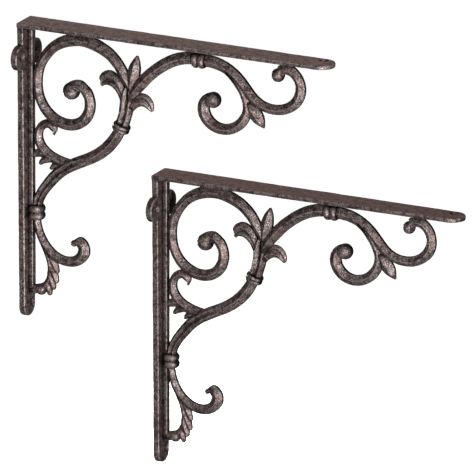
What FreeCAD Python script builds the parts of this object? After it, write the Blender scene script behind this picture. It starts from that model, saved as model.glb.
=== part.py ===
"""A pair of cast-iron scroll brackets for a wall shelf, written as one STEP file per section of each casting.

Each bracket stands in its own plane: X runs out from the wall, Z up and Y along the wall. Bracket outlines are
given from the corner of the casting: X = 0 is the wall, Y = 0 the middle plane, Z = 0 the top of the arm.
The assembly's origin is on the wall, midway between the two ear screws of the upper bracket.
"""
import FreeCAD, Part

import math
import os

# Driving dimensions, in millimetres.
ARM_LENGTH = 292.0          # wall to tip of the arm
ARM_WIDTH = 26.4            # at the wall
ARM_TIP_WIDTH = 23.0
ARM_THICKNESS = 3.4
STRAP_LENGTH = 260.0        # top of the arm to the foot
STRAP_WIDTH = 24.0          # at the arm
STRAP_FOOT_WIDTH = 19.4
STRAP_THICKNESS = 5.4
EDGE_ROUND = 0.9            # cast rounding along the shelf face and the front of the wall strap
RIB_WIDTH = 5.5
WALL_RIB_HEIGHT = 4.0
ARM_RIB_HEIGHT = 3.2
ARM_RIB_END = 258.0
WALL_RIB_END = 238.0
EAR_RADIUS = 10.8
EAR_DROP = 30.0             # ear screws below the top of the arm
EAR_SPACING = 26.0          # between the two ear screws
SCREW_HOLE = 5.0            # clearance for a 4.5 mm wood screw
SCREW_HEAD = 9.0            # mouth of the countersink
SCREW_HEAD_DEPTH = 2.0
FOOT_SCREW = (4.6, -249.0)  # Y and Z
TIP_SCREW = (280.0, 5.5)    # X and Y
BAR_DEPTH = 9.0             # front to back of a scroll bar
COLLAR_CROWN = 1.5          # rise of the middle of a collar's bands above their edges
LOBES = [                      # lobes of the foot leaf: X and Z of the root, then of the round tip
    (21.4, -200.0, 31.2, -217.4),
    (23.4, -210.4, 30.6, -226.0),
    (22.8, -218.6, 27.8, -232.2),
    (21.4, -225.4, 24.2, -237.8),
]
PAIR_SPACING = 249.0        # between the two brackets, along the wall
PAIR_DROP = 202.0           # the lower bracket below the upper one

# Share of a bar's depth at its side, its quarter and its middle: a plain bar is ridged, a twin bar is grooved.
SIDE_SHARE = 0.16
RIDGED = (0.345, 0.52)
GROOVED = (0.47, 0.25)

EAST = FreeCAD.Vector(1, 0, 0)
NORTH = FreeCAD.Vector(0, 1, 0)
UP = FreeCAD.Vector(0, 0, 1)


def point(x, z, y=0.0):
    """A point of the bracket, by default on its middle plane."""
    return FreeCAD.Vector(x, y, z)


def largest(shape):
    """The main solid of a shape, without the slivers that a cut can leave."""
    return max(shape.Solids, key=lambda solid: solid.Volume)


def joined(first, *others):
    """Several touching solids as one."""
    return largest(first.fuse(list(others)).removeSplitter())


# ---- Bars, balls and collars ----

def bar_section(x, z, side, width, depth, groove):
    """The ten-cornered outline of a bar, across its run; side is the direction of its width."""
    quarter = RIDGED[0] + (GROOVED[0] - RIDGED[0]) * groove
    middle = RIDGED[1] + (GROOVED[1] - RIDGED[1]) * groove
    half = [(0.5, SIDE_SHARE), (0.25, quarter), (0.0, middle), (-0.25, quarter), (-0.5, SIDE_SHARE)]
    corners = [(across, share) for across, share in half] + [(across, -share) for across, share in reversed(half)]
    outline = [point(x, z) + side * (across * width) + NORTH * (share * depth) for across, share in corners]
    return Part.makePolygon(outline + outline[:1])


def bar(stations, depth=BAR_DEPTH, groove_from=None, pitch=5.0):
    """A bar through stations of (x, z, width). It thins towards a pointed end, and is never deeper than wide."""
    guide = Part.BSplineCurve()
    guide.interpolate([FreeCAD.Vector(x, width, z) for x, z, width in stations])
    first, last = guide.FirstParameter, guide.LastParameter
    count = max(6, round(guide.length() / pitch))
    wires = []
    for index in range(count + 1):
        run = index / count
        place = guide.value(first + (last - first) * run)
        ahead = guide.tangent(first + (last - first) * run)[0]
        side = FreeCAD.Vector(-ahead.z, 0, ahead.x)
        side.normalize()
        width = max(place.y, 0.6)
        groove = 0.0 if groove_from is None else min(max((run - groove_from) / 0.15, 0.0), 1.0)
        wires.append(bar_section(place.x, place.z, side, width, min(depth, width), groove))
    return Part.makeLoft(wires, True, False)


def ball(x, z, radius):
    return Part.makeSphere(radius, point(x, z))


def collar(x, z, radius, band, turn):
    """Two round bands, each so long, around a bar whose run is turned by so many degrees from upright."""
    edge = radius - COLLAR_CROWN
    outline = []
    for start in (-band, 0.0):
        low = point(edge, start)
        middle = point(radius, start + band / 2)
        high = point(edge, start + band)
        outline.append(Part.Arc(low, middle, high).toShape())
    outline.append(Part.makePolygon([point(edge, band), point(0, band), point(0, -band), point(edge, -band)]))
    edges = [edge for part in outline for edge in part.Edges]
    bands = Part.Face(Part.Wire(Part.__sortEdges__(edges))).revolve(point(0, 0), UP, 360)
    bands.rotate(point(0, 0), NORTH, turn)
    bands.translate(point(x, z))
    return largest(bands) if bands.Solids else Part.makeSolid(bands)


# ---- Straps, ribs and ears ----

def countersunk_hole(mouth, inwards):
    """The space of a countersunk screw hole, from the middle of its mouth."""
    depth = SCREW_HEAD_DEPTH
    head = Part.makeCone(SCREW_HEAD / 2, SCREW_HOLE / 2, depth, mouth, inwards)
    shank = Part.makeCylinder(SCREW_HOLE / 2, 4 * depth, mouth, inwards)
    lead_in = Part.makeCylinder(SCREW_HEAD / 2, depth, mouth - inwards * depth, inwards)
    return joined(head, shank, lead_in)


def tapered_strap(length, width, end_width, thickness):
    """A flat strap along X with a round end, its rounded face on top at Z = 0."""
    end_radius = end_width / 2
    straight = length - end_radius
    corners = [(0, -width / 2), (straight, -end_radius), (straight, end_radius), (0, width / 2)]
    low_start, low_end, high_end, high_start = [FreeCAD.Vector(x, y, -thickness) for x, y in corners]
    tip = FreeCAD.Vector(length, 0, -thickness)
    outline = Part.Wire([
        Part.makeLine(low_start, low_end),
        Part.Arc(low_end, tip, high_end).toShape(),
        Part.makeLine(high_end, high_start),
        Part.makeLine(high_start, low_start),
    ])
    strap = Part.Face(outline).extrude(UP * thickness)
    rim = [edge for edge in strap.Edges if edge.BoundBox.ZMin > -0.01 and edge.BoundBox.XMax > 1]
    return strap.makeFillet(EDGE_ROUND, rim)


def arm():
    strap = tapered_strap(ARM_LENGTH, ARM_WIDTH, ARM_TIP_WIDTH, ARM_THICKNESS)
    return strap.cut(countersunk_hole(FreeCAD.Vector(*TIP_SCREW, 0), -UP))


def wall_strap():
    strap = tapered_strap(STRAP_LENGTH - ARM_THICKNESS, STRAP_WIDTH, STRAP_FOOT_WIDTH, STRAP_THICKNESS)
    strap.rotate(FreeCAD.Vector(0, 0, 0), NORTH, 90)
    strap.translate(FreeCAD.Vector(STRAP_THICKNESS, 0, -ARM_THICKNESS))
    foot_y, foot_z = FOOT_SCREW
    return strap.cut(countersunk_hole(FreeCAD.Vector(STRAP_THICKNESS, foot_y, foot_z), -EAST))


def ear(side):
    """A round screw lug at one side of the wall strap; side is -1 or 1."""
    centre = FreeCAD.Vector(0, side * EAR_SPACING / 2, -EAR_DROP)
    lug = Part.makeCylinder(EAR_RADIUS, STRAP_THICKNESS, centre, EAST)
    rim = [edge for edge in lug.Edges if edge.BoundBox.XMin > STRAP_THICKNESS - 0.01]
    lug = lug.makeFillet(EDGE_ROUND, rim)
    return lug.cut(countersunk_hole(centre + EAST * STRAP_THICKNESS, -EAST))


def wall_rib():
    height = WALL_RIB_END - ARM_THICKNESS
    corner = FreeCAD.Vector(STRAP_THICKNESS, -RIB_WIDTH / 2, -WALL_RIB_END)
    return Part.makeBox(WALL_RIB_HEIGHT, RIB_WIDTH, height, corner)


def arm_rib():
    start = STRAP_THICKNESS + WALL_RIB_HEIGHT
    corner = FreeCAD.Vector(start, -RIB_WIDTH / 2, -ARM_THICKNESS - ARM_RIB_HEIGHT)
    return Part.makeBox(ARM_RIB_END - start, RIB_WIDTH, ARM_RIB_HEIGHT, corner)


# ---- Scrolls and stems, by their stations of (x, z, width) ----

def main_scroll():
    curl = bar([
        (101.4, -57.0, 3.6), (100.6, -46.6, 6.2), (95.4, -36.2, 8.6), (89.4, -27.2, 9.6), (81.3, -19.4, 9.8), (70.6, -14.0, 10.2),
        (57.0, -10.8, 10.4), (42.8, -12.8, 10.0), (30.6, -18.8, 9.2), (21.2, -28.6, 8.4), (15.0, -41.0, 8.2),
        (13.4, -54.5, 8.2), (16.2, -68.3, 8.4), (23.9, -79.3, 8.8), (36.0, -86.0, 9.2), (49.5, -85.6, 9.4),
        (59.0, -78.6, 9.4), (63.0, -67.0, 9.2), (60.2, -56.5, 9.0), (53.0, -51.0, 8.8), (46.0, -53.6, 8.6),
    ])
    return joined(curl, ball(45.4, -56.6, 7.3))


def trunk():
    return bar([
        (90.6, -85.6, 9.6), (85.2, -94.8, 10.2), (77.1, -103.8, 10.4), (67.6, -110.9, 10.2), (56.6, -116.7, 10.0),
        (44.5, -122.6, 10.2), (32.5, -131.1, 10.0), (23.0, -141.8, 9.4), (15.8, -152.4, 8.6), (12.8, -164.0, 8.6),
    ], groove_from=0.32)


def stem():
    """The short twin bar that carries the crown."""
    return bar([(92.9, -80.6, 12.0), (95.8, -71.8, 11.6), (97.6, -63.0, 12.4), (98.6, -54.0, 11.4),
                (99.4, -46.0, 5.6)], depth=9.0, groove_from=-0.2)


def branch():
    return bar([
        (96.8, -65.6, 3.4), (101.5, -54.6, 7.4), (109.0, -44.0, 9.8), (118.7, -33.3, 10.2), (130.2, -23.9, 10.2),
        (142.3, -16.7, 10.4), (153.5, -13.2, 10.4), (163.0, -12.8, 10.0),
    ], depth=9.2)


def end_scroll():
    curl = bar([
        (168.0, -13.2, 9.6), (179.0, -13.4, 10.0), (190.5, -16.6, 9.6), (200.5, -22.6, 9.2), (209.0, -31.2, 9.0),
        (216.6, -39.6, 8.6), (226.0, -45.4, 8.2), (236.0, -47.2, 8.2), (246.0, -45.6, 8.6), (254.6, -40.4, 9.0),
        (260.2, -32.0, 9.0), (260.8, -22.6, 8.6), (256.6, -14.4, 8.6), (249.2, -10.4, 8.8), (242.2, -12.4, 8.4),
    ], depth=8.8)
    return joined(curl, ball(239.9, -16.6, 5.8))


def drop_scroll():
    curl = bar([
        (188.0, -16.4, 7.6), (196.8, -21.6, 8.4), (204.0, -29.8, 8.6), (209.6, -40.2, 8.2), (211.2, -51.0, 8.0),
        (206.8, -61.4, 8.6), (198.7, -68.2, 8.8), (189.0, -70.8, 9.0), (179.7, -68.8, 9.8), (172.8, -62.8, 10.4),
        (170.2, -54.6, 10.2), (172.8, -47.4, 9.4), (178.6, -45.8, 8.8),
    ], depth=9.2)
    return joined(curl, ball(179.2, -46.4, 6.8))


def foot_hook():
    hook = bar([
        (12.4, -169.0, 7.0), (13.0, -179.0, 6.8), (16.8, -190.0, 7.2), (23.2, -199.2, 7.6), (31.8, -205.4, 7.8),
        (41.4, -207.6, 8.2), (50.4, -205.4, 9.0), (56.2, -199.0, 10.0), (56.6, -192.2, 10.0), (52.0, -189.0, 8.6),
        (47.8, -190.6, 5.4),
    ], depth=8.6)
    return joined(hook, ball(47.4, -190.8, 2.7))


# ---- Leaves and buds ----

def crown_bud():
    return bar([(99.4, -61.0, 3.0), (102.2, -45.0, 8.6), (105.0, -30.5, 10.6), (107.0, -21.5, 5.6),
                (107.9, -17.4, 1.2)], depth=10.4)


def left_crown_leaf():
    """A curled leaf, folded along a crease into a broad upper half and a narrow lower one."""
    upper = bar([(95.6, -64.0, 3.2), (95.4, -55.0, 6.2), (92.0, -46.8, 6.8), (85.8, -39.2, 7.6), (79.0, -37.6, 7.0),
                 (74.8, -41.6, 5.2), (73.6, -47.2, 2.6)], depth=8.6)
    lower = bar([(94.6, -70.0, 3.0), (94.6, -61.0, 5.0), (92.2, -52.6, 5.8), (87.0, -46.4, 6.0), (81.0, -44.0, 5.6),
                 (76.2, -45.6, 3.6), (74.2, -48.6, 1.6)], depth=7.0)
    return joined(upper, lower)


def right_crown_leaf():
    """A leaf that droops outwards, with its outer edge turned over in a narrow rim."""
    blade = bar([(95.8, -77.0, 3.2), (98.0, -69.6, 6.2), (101.6, -62.8, 8.2), (107.4, -58.4, 8.2), (113.6, -57.8, 6.6),
                 (118.2, -60.8, 4.4), (121.2, -64.8, 1.6)], depth=7.6)
    rim = bar([(98.6, -66.0, 2.8), (102.6, -58.2, 3.8), (108.4, -53.2, 4.8), (114.8, -52.4, 4.6), (119.8, -56.4, 4.2),
               (122.0, -63.8, 1.6)], depth=7.0)
    return joined(blade, rim)


def fork_bud():
    return bar([(208.6, -38.0, 4.0), (214.0, -47.0, 8.6), (220.4, -55.4, 11.6), (224.6, -61.0, 6.6),
                (227.2, -64.8, 1.4)], depth=8.6)


def wall_leaf():
    """The acanthus leaf between the main scroll and the wall strap, its lower edge parted into three strands."""
    curl = bar([
        (52.0, -120.8, 3.0), (42.0, -120.8, 7.4), (31.6, -119.0, 8.6), (21.8, -114.2, 8.8), (15.2, -106.0, 8.2),
        (14.2, -97.6, 7.2), (18.0, -90.6, 6.8), (24.2, -88.6, 7.2), (28.4, -91.8, 6.4), (28.2, -97.2, 3.0),
    ], depth=8.2)
    strands = [
        bar([(34.0, -116.4, 1.6), (26.0, -115.4, 4.6), (17.6, -114.6, 7.2), (11.8, -116.2, 6.4), (8.8, -118.8, 3.0)],
            depth=8.0, pitch=3.0),
        bar([(43.0, -120.6, 1.6), (34.0, -119.4, 4.6), (25.2, -119.0, 6.6), (18.6, -121.6, 5.4), (15.2, -125.4, 2.4)],
            depth=8.0, pitch=3.0),
        bar([(51.0, -122.6, 1.6), (43.0, -123.0, 4.4), (35.0, -123.0, 6.0), (29.0, -124.8, 5.4), (25.4, -128.4, 2.4)],
            depth=8.0, pitch=3.0),
    ]
    return joined(curl, *strands)


def foot_leaf():
    """The fluted leaf at the foot: a spine that bends back to the wall strap, and round-tipped lobes along it."""
    spine = bar([
        (13.4, -187.0, 4.0), (18.4, -196.0, 5.0), (22.8, -205.0, 5.4), (25.2, -214.0, 5.6), (25.0, -223.0, 6.0),
        (21.0, -231.2, 6.6), (13.8, -235.2, 7.6), (4.0, -236.4, 8.2),
    ], depth=7.0)
    lobes = []
    for x, z, tip_x, tip_z in LOBES:
        middle = (0.45 * x + 0.55 * tip_x, 0.55 * z + 0.45 * tip_z, 6.2)
        lobes.append(bar([(x, z, 2.4), middle, (tip_x, tip_z, 4.4)], depth=8.0, pitch=3.0))
        lobes.append(ball(tip_x, tip_z, 2.2))
    return joined(spine, *lobes, ball(16.2, -235.8, 4.6))


# Each section of one casting. A section gives way to the ones before it, so neighbours meet face to face.
SECTIONS = [
    ("arm", arm),
    ("left_ear", lambda: ear(-1)),
    ("right_ear", lambda: ear(1)),
    ("wall_strap", wall_strap),
    ("trunk_collar", lambda: collar(92.4, -82.4, 7.6, 3.3, 21.0)),
    ("wall_collar", lambda: collar(12.4, -167.4, 7.1, 6.0, 0.0)),
    ("arm_collar", lambda: collar(166.2, -13.2, 7.0, 5.8, 90.0)),
    ("wall_rib", wall_rib),
    ("arm_rib", arm_rib),
    ("trunk", trunk),
    ("main_scroll", main_scroll),
    ("branch", branch),
    ("stem", stem),
    ("end_scroll", end_scroll),
    ("drop_scroll", drop_scroll),
    ("crown_bud", crown_bud),
    ("left_crown_leaf", left_crown_leaf),
    ("right_crown_leaf", right_crown_leaf),
    ("fork_bud", fork_bud),
    ("wall_leaf", wall_leaf),
    ("foot_hook", foot_hook),
    ("foot_leaf", foot_leaf),
]

BRACKETS = {
    "upper": FreeCAD.Vector(0, 0, EAR_DROP),
    "lower": FreeCAD.Vector(0, PAIR_SPACING, EAR_DROP - PAIR_DROP),
}


def casting():
    """The sections of one bracket, by name."""
    sections = {}
    for name, make in SECTIONS:
        shape = make()
        near = [other for other in sections.values() if other.BoundBox.intersect(shape.BoundBox)]
        if near:
            shape = shape.cut(near)
        sections[name] = largest(shape)
    return sections


def main():
    os.makedirs("parts", exist_ok=True)
    for name, shape in casting().items():
        for bracket, place in BRACKETS.items():
            placed = shape.copy()
            placed.translate(place)
            placed.exportStep(f"parts/{bracket}_{name}.step")
        print(f"{name:18s} {shape.Volume:9.0f} mm3  valid {shape.isValid()}  faces {len(shape.Faces)}")


main()
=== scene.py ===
import math

import bmesh
import bpy
from mathutils import Matrix, Vector


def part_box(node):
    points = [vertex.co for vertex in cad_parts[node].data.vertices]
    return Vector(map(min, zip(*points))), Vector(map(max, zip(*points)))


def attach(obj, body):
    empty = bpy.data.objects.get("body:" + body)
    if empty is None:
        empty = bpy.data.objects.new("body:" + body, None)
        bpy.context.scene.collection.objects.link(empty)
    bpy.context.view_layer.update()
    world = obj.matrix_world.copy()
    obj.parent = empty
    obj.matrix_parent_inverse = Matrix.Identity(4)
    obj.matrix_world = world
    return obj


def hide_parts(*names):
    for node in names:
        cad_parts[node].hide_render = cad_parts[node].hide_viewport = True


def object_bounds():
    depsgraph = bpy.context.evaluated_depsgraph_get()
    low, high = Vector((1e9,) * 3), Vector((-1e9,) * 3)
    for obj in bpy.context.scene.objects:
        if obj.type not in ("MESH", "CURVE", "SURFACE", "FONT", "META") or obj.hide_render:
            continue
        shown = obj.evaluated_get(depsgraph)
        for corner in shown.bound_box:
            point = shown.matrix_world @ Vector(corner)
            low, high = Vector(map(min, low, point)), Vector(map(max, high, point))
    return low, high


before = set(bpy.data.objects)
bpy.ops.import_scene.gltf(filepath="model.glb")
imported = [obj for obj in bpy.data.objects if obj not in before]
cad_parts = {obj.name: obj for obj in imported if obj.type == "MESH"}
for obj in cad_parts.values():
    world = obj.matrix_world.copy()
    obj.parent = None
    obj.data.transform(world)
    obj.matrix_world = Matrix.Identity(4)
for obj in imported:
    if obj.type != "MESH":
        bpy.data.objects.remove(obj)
cad_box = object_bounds()

# ---------------------------------------------------------------- driving sizes, metres
WELD_GAP = 0.00001         # corners of the CAD mesh closer than this are one
SKIN_VOXEL = 0.0005        # facet size of the cast skin
SKIN_SWELL = 0.00018       # pieces reach this far into each other, so no gap opens between them
SAND_LUMP = 0.0022         # size of the grain left by the mould sand
SAND_HEIGHT = 0.00022
WOBBLE_LUMP = 0.016        # slow unevenness of a casting made from a worn pattern
WOBBLE_HEIGHT = 0.00040

VIEW_TURN = math.radians(26.8)      # camera swings this far round from square-on
VIEW_TILT = math.radians(17.2)      # and looks down by this much
VIEW_WIDTH = 0.4011                 # width of the picture where the object is
AIM_ACROSS = 0.1793                 # from the corner of the upper bracket to the middle of the picture
AIM_DOWN = 0.1828
LENS = 1400.0                       # focal length and sensor width, in millimetres
SENSOR = 36
FLOOR_DROP = 0.55                   # floor below the lower bracket
FLOOR_HALF = 30.0                   # half the side of the floor

# Lights in front: name, how far the direction to the camera is turned across and up, size, watts.
FRONT_REACH = 2.0
FRONT_LIGHTS = (
    ("key", 0.16, -0.40, 0.35, 53.0),
    ("side", 1.6, 0.2, 0.35, 5.0),
    ("top", 0.3, 1.7, 0.8, 14.0),
)
# Lights behind: name, direction in the part's own axes, size, watts.
REAR_REACH = 2.4
REAR_LIGHTS = (
    ("behind", (-0.50, 0.80, 0.50), 1.2, 5.5),
    ("rear", (-0.70, 0.70, -0.30), 0.8, 70.0),
)
SKY_FILL = 0.04                     # even light from the world

# ---------------------------------------------------------------- sections of one casting
BRACKETS = ("upper", "lower")

STRAP_SECTIONS = ("arm", "wall_strap", "left_ear", "right_ear", "arm_rib", "wall_rib")
SECTION_NAMES = STRAP_SECTIONS + (
    "trunk_collar", "wall_collar", "arm_collar",
    "trunk", "stem", "branch", "main_scroll", "end_scroll", "drop_scroll", "foot_hook",
    "crown_bud", "left_crown_leaf", "right_crown_leaf", "fork_bud", "wall_leaf", "foot_leaf",
)

# ---------------------------------------------------------------- finish of the iron, with painted shade and highlights
GRAIN_SCALE = 950.0         # noise cells in a metre
PATCH_SCALE = 48.0
STAIN_SCALE = 210.0
BUMP_SCALE = 900.0
BUMP_STRENGTH = 0.55
BUMP_HEIGHT = 0.0006
METALLIC = 0.60
ROUGHEST = 0.62
SMOOTHEST = 0.40
EDGE_REACH = 0.0016         # how far in from an edge its painted shade goes
HOLLOW_REACH = 0.006        # how wide a hollow gets painted shade
SHADE_SAMPLES = 8
STRAP_FLANK = 0.75          # what the flanks of the straps and of the scrollwork keep of their colour under the painted shade
SCROLL_FLANK = 0.12

BLACK = (0, 0, 0)
WHITE = (1, 1, 1)
# Paler metal on the ridges: rubbed wear, and a painted highlight along them.
RUBBED_METAL_AND_HIGHLIGHT = (0.56, 0.49, 0.47)

# Colour along the grain, from its pits to its peaks: where on the noise, and the colour.
SKIN_COLOURS = ((0.34, (0.026, 0.018, 0.017)), (0.50, (0.150, 0.112, 0.106)), (0.64, (0.520, 0.448, 0.430)))
RUST_COLOURS = ((0.32, (0.050, 0.027, 0.024)), (0.50, (0.180, 0.110, 0.100)), (0.68, (0.400, 0.290, 0.270)))
DUST_AND_SHADE_COLOURS = ((0.34, (0.060, 0.019, 0.013)), (0.50, (0.215, 0.072, 0.048)), (0.68, (0.380, 0.165, 0.120)))

# Where each finish, painted shade and painted highlight starts and where it is full.
RUST_PATCHES = ((0.45, BLACK), (0.62, (0.8, 0.8, 0.8)))
STAINS = ((0.38, (0.25, 0.22, 0.22)), (0.54, WHITE))
# Up-facing surfaces redder and darker: settled dust, and painted shade for how the tops are lit.
TOP_DUST_AND_SHADE = ((0.75, BLACK), (0.95, (0.9, 0.9, 0.9)))
# Ridges paler: rubbed wear, and a painted highlight along them.
RUBBED_AND_HIGHLIT_RIDGES = ((0.506, BLACK), (0.550, (0.80, 0.80, 0.80)))
# Painted shade in the grooves.
PAINTED_GROOVE_SHADE = ((0.450, (0.12, 0.10, 0.10)), (0.494, WHITE))
# Painted shade along the edges.
PAINTED_EDGE_SHADE = ((0.50, (0.12, 0.10, 0.10)), (0.92, WHITE))
# Painted shade in the hollows.
PAINTED_HOLLOW_SHADE = ((0.30, (0.06, 0.05, 0.05)), (0.88, WHITE))
# Painted shade on the flanks, by how far the surface turns from the flat sides.
FLANK_FROM = 0.34
FLANK_TO = 0.76


# ---------------------------------------------------------------- material
def cast_iron(name, flank_shade):
    """Dark brown foundry iron: sandy skin, rust in patches, red dust and painted shade on top, rubbed paler
    with a painted highlight along the ridges.

    Grooves, hollows and edges get painted shade, and so do the flanks, the surfaces that turn away from the
    bracket's two flat sides, which keep flank_shade of their colour."""
    material = bpy.data.materials.new(name)
    material.use_nodes = True
    tree = material.node_tree
    nodes = tree.nodes
    link = tree.links.new
    shader = nodes["Principled BSDF"]
    place = nodes.new("ShaderNodeTexCoord").outputs["Object"]

    def noise(scale, detail=4.0, rough=0.6):
        node = nodes.new("ShaderNodeTexNoise")
        node.inputs["Scale"].default_value = scale
        node.inputs["Detail"].default_value = detail
        node.inputs["Roughness"].default_value = rough
        link(place, node.inputs["Vector"])
        return node.outputs["Fac"]

    def ramp(source, stops):
        node = nodes.new("ShaderNodeValToRGB")
        band = node.color_ramp
        while len(band.elements) < len(stops):
            band.elements.new(0.5)
        for element, (at, colour) in zip(band.elements, stops):
            element.position = at
            element.color = (*colour, 1.0)
        link(source, node.inputs["Fac"])
        return node.outputs["Color"]

    def blend(factor, first, second, kind="MIX"):
        node = nodes.new("ShaderNodeMix")
        node.data_type = "RGBA"
        node.blend_type = kind
        for socket, value in ((node.inputs[0], factor), (node.inputs[6], first), (node.inputs[7], second)):
            if isinstance(value, (int, float)):
                socket.default_value = value
            elif isinstance(value, tuple):
                socket.default_value = (*value, 1.0)
            else:
                link(value, socket)
        return node.outputs[2]

    def openness(reach, inside):
        node = nodes.new("ShaderNodeAmbientOcclusion")
        node.inside = inside
        node.inputs["Distance"].default_value = reach
        node.samples = SHADE_SAMPLES
        return node.outputs["AO"]

    grain = noise(GRAIN_SCALE, 4.0, 0.65)
    patch = noise(PATCH_SCALE, 4.0, 0.55)
    skin = ramp(grain, SKIN_COLOURS)
    rust = ramp(grain, RUST_COLOURS)
    dust_and_shade = ramp(grain, DUST_AND_SHADE_COLOURS)
    mottled = blend(ramp(patch, RUST_PATCHES), skin, rust)

    geometry = nodes.new("ShaderNodeNewGeometry")
    split = nodes.new("ShaderNodeSeparateXYZ")
    link(geometry.outputs["Normal"], split.inputs[0])
    pointiness = geometry.outputs["Pointiness"]
    # Up-facing surfaces turn redder and darker: settled dust, and painted shade on the tops.
    dusted_and_shaded = blend(ramp(split.outputs["Z"], TOP_DUST_AND_SHADE), mottled, dust_and_shade)
    # Ridges turn paler: rubbed wear, and a painted highlight.
    rubbed_and_highlit = blend(ramp(pointiness, RUBBED_AND_HIGHLIT_RIDGES), dusted_and_shaded, RUBBED_METAL_AND_HIGHLIGHT)

    facing = nodes.new("ShaderNodeMath")
    facing.operation = "ABSOLUTE"
    link(split.outputs["Y"], facing.inputs[0])
    colour = rubbed_and_highlit
    # Painted shade in grooves, along edges, in hollows and on the flanks, and real stains, multiplied into
    # the colour.
    for darkening in (
        ramp(pointiness, PAINTED_GROOVE_SHADE),
        ramp(noise(STAIN_SCALE, 4.0, 0.7), STAINS),
        ramp(openness(EDGE_REACH, inside=True), PAINTED_EDGE_SHADE),
        ramp(openness(HOLLOW_REACH, inside=False), PAINTED_HOLLOW_SHADE),
        ramp(facing.outputs[0], ((FLANK_FROM, (flank_shade,) * 3), (FLANK_TO, WHITE))),
    ):
        colour = blend(1.0, colour, darkening, "MULTIPLY")
    link(colour, shader.inputs["Base Color"])

    rough = nodes.new("ShaderNodeMapRange")
    rough.inputs["To Min"].default_value = ROUGHEST
    rough.inputs["To Max"].default_value = SMOOTHEST
    link(grain, rough.inputs["Value"])
    link(rough.outputs["Result"], shader.inputs["Roughness"])

    bump = nodes.new("ShaderNodeBump")
    bump.inputs["Strength"].default_value = BUMP_STRENGTH
    bump.inputs["Distance"].default_value = BUMP_HEIGHT
    link(noise(BUMP_SCALE, 3.0, 0.6), bump.inputs["Height"])
    link(bump.outputs["Normal"], shader.inputs["Normal"])

    shader.inputs["Metallic"].default_value = METALLIC
    shader.inputs["Specular IOR Level"].default_value = 0.5
    return material


def pale_floor():
    material = bpy.data.materials.new("pale_floor")
    material.use_nodes = True
    shader = material.node_tree.nodes["Principled BSDF"]
    shader.inputs["Base Color"].default_value = (0.93, 0.93, 0.93, 1.0)
    shader.inputs["Roughness"].default_value = 0.9
    shader.inputs["Specular IOR Level"].default_value = 0.1
    shader.inputs["Emission Color"].default_value = (1.0, 1.0, 1.0, 1.0)
    shader.inputs["Emission Strength"].default_value = 0.95
    return material


# ---------------------------------------------------------------- cast skin
def cloud(name, size):
    texture = bpy.data.textures.new(name, "CLOUDS")
    texture.noise_scale = size
    texture.noise_depth = 2
    return texture


def apply_modifiers(piece):
    """Works the piece's modifiers into its mesh."""
    seen = piece.evaluated_get(bpy.context.evaluated_depsgraph_get())
    mesh = bpy.data.meshes.new_from_object(seen)
    piece.modifiers.clear()
    piece.data = mesh


def cast_skin(name, node, material, sand, wobble):
    """A section of the casting with sand-cast skin, made around its CAD solid."""
    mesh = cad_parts[node].data.copy()
    mesh.materials.clear()
    piece = bpy.data.objects.new(name, mesh)
    bpy.context.scene.collection.objects.link(piece)
    weld = bmesh.new()
    weld.from_mesh(mesh)
    bmesh.ops.remove_doubles(weld, verts=weld.verts, dist=WELD_GAP)
    weld.to_mesh(mesh)
    weld.free()

    swell = piece.modifiers.new("swell", "DISPLACE")
    swell.strength = SKIN_SWELL
    swell.mid_level = 0.0
    remesh = piece.modifiers.new("skin", "REMESH")
    remesh.mode = "VOXEL"
    remesh.voxel_size = SKIN_VOXEL
    soften = piece.modifiers.new("soften", "SMOOTH")
    soften.factor = 0.5
    soften.iterations = 2
    for label, texture, height in (("wobble", wobble, WOBBLE_HEIGHT), ("sand", sand, SAND_HEIGHT)):
        rise = piece.modifiers.new(label, "DISPLACE")
        rise.texture = texture
        rise.texture_coords = "LOCAL"
        rise.strength = height
        rise.mid_level = 0.5
    apply_modifiers(piece)
    piece.data.materials.append(material)
    for face in piece.data.polygons:
        face.use_smooth = True
    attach(piece, "root")
    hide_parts(node)


# ---------------------------------------------------------------- studio
def area_light(name, towards, distance, size, power, aim):
    data = bpy.data.lights.new(name, "AREA")
    data.shape = "DISK"
    data.size = size
    data.energy = power
    light = bpy.data.objects.new(name, data)
    bpy.context.scene.collection.objects.link(light)
    light.location = aim + Vector(towards).normalized() * distance
    light.rotation_euler = (aim - light.location).to_track_quat("-Z", "Y").to_euler()


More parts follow.
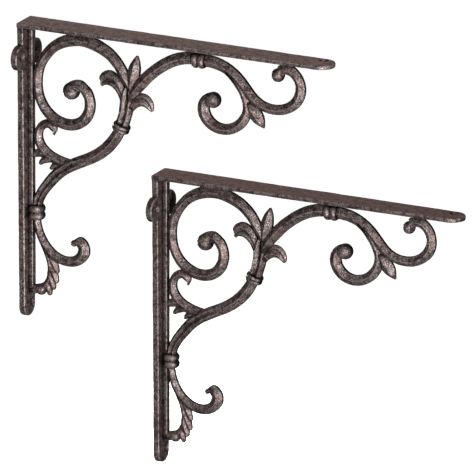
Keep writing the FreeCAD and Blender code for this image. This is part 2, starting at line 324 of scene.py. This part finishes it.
def studio():
    low = Vector(cad_box[0])
    high = Vector(cad_box[1])
    middle = (low + high) / 2
    across = Vector((math.cos(VIEW_TURN), math.sin(VIEW_TURN), 0.0))
    up = Vector((-math.sin(VIEW_TURN) * math.sin(VIEW_TILT), math.cos(VIEW_TURN) * math.sin(VIEW_TILT),
                 math.cos(VIEW_TILT)))
    back = across.cross(up)

    corner = Vector((0.0, 0.0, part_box("upper_arm")[1][2]))
    aim = corner + across * AIM_ACROSS - up * AIM_DOWN
    aim += back * (middle - aim).dot(back)

    data = bpy.data.cameras.new("camera")
    data.lens = LENS
    data.sensor_width = SENSOR
    camera = bpy.data.objects.new("camera", data)
    bpy.context.scene.collection.objects.link(camera)
    reach = VIEW_WIDTH * LENS / SENSOR
    turn = Matrix((across, up, back)).transposed().to_4x4()
    camera.matrix_world = Matrix.Translation(aim + back * reach) @ turn
    data.clip_start = 0.1
    data.clip_end = reach * 4
    bpy.context.scene.camera = camera

    floor_mesh = bpy.data.meshes.new("floor")
    level = low.z - FLOOR_DROP
    corners = [(x * FLOOR_HALF, y * FLOOR_HALF, level) for x, y in ((-1, -1), (1, -1), (1, 1), (-1, 1))]
    floor_mesh.from_pydata(corners, [], [(0, 1, 2, 3)])
    floor = bpy.data.objects.new("floor", floor_mesh)
    bpy.context.scene.collection.objects.link(floor)
    floor_mesh.materials.append(pale_floor())
    floor.visible_diffuse = False
    floor.visible_glossy = False

    for name, turn_across, turn_up, size, power in FRONT_LIGHTS:
        area_light(name, back + across * turn_across + up * turn_up, FRONT_REACH, size, power, middle)
    for name, towards, size, power in REAR_LIGHTS:
        area_light(name, towards, REAR_REACH, size, power, middle)

    world = bpy.data.worlds.new("studio")
    bpy.context.scene.world = world
    world.use_nodes = True
    background = world.node_tree.nodes["Background"]
    background.inputs["Color"].default_value = (1.0, 1.0, 1.0, 1.0)
    background.inputs["Strength"].default_value = SKY_FILL
    bpy.context.scene.view_settings.view_transform = "Standard"


# ---------------------------------------------------------------- the pair
def main():
    flat_iron = cast_iron("cast_iron_straps", STRAP_FLANK)
    scroll_iron = cast_iron("cast_iron_scrollwork", SCROLL_FLANK)
    sand = cloud("sand", SAND_LUMP)
    wobble = cloud("wobble", WOBBLE_LUMP)
    for bracket in BRACKETS:
        for section in SECTION_NAMES:
            node = f"{bracket}_{section}"
            iron = flat_iron if section in STRAP_SECTIONS else scroll_iron
            cast_skin(f"{node}_skin", node, iron, sand, wobble)
    studio()


main()
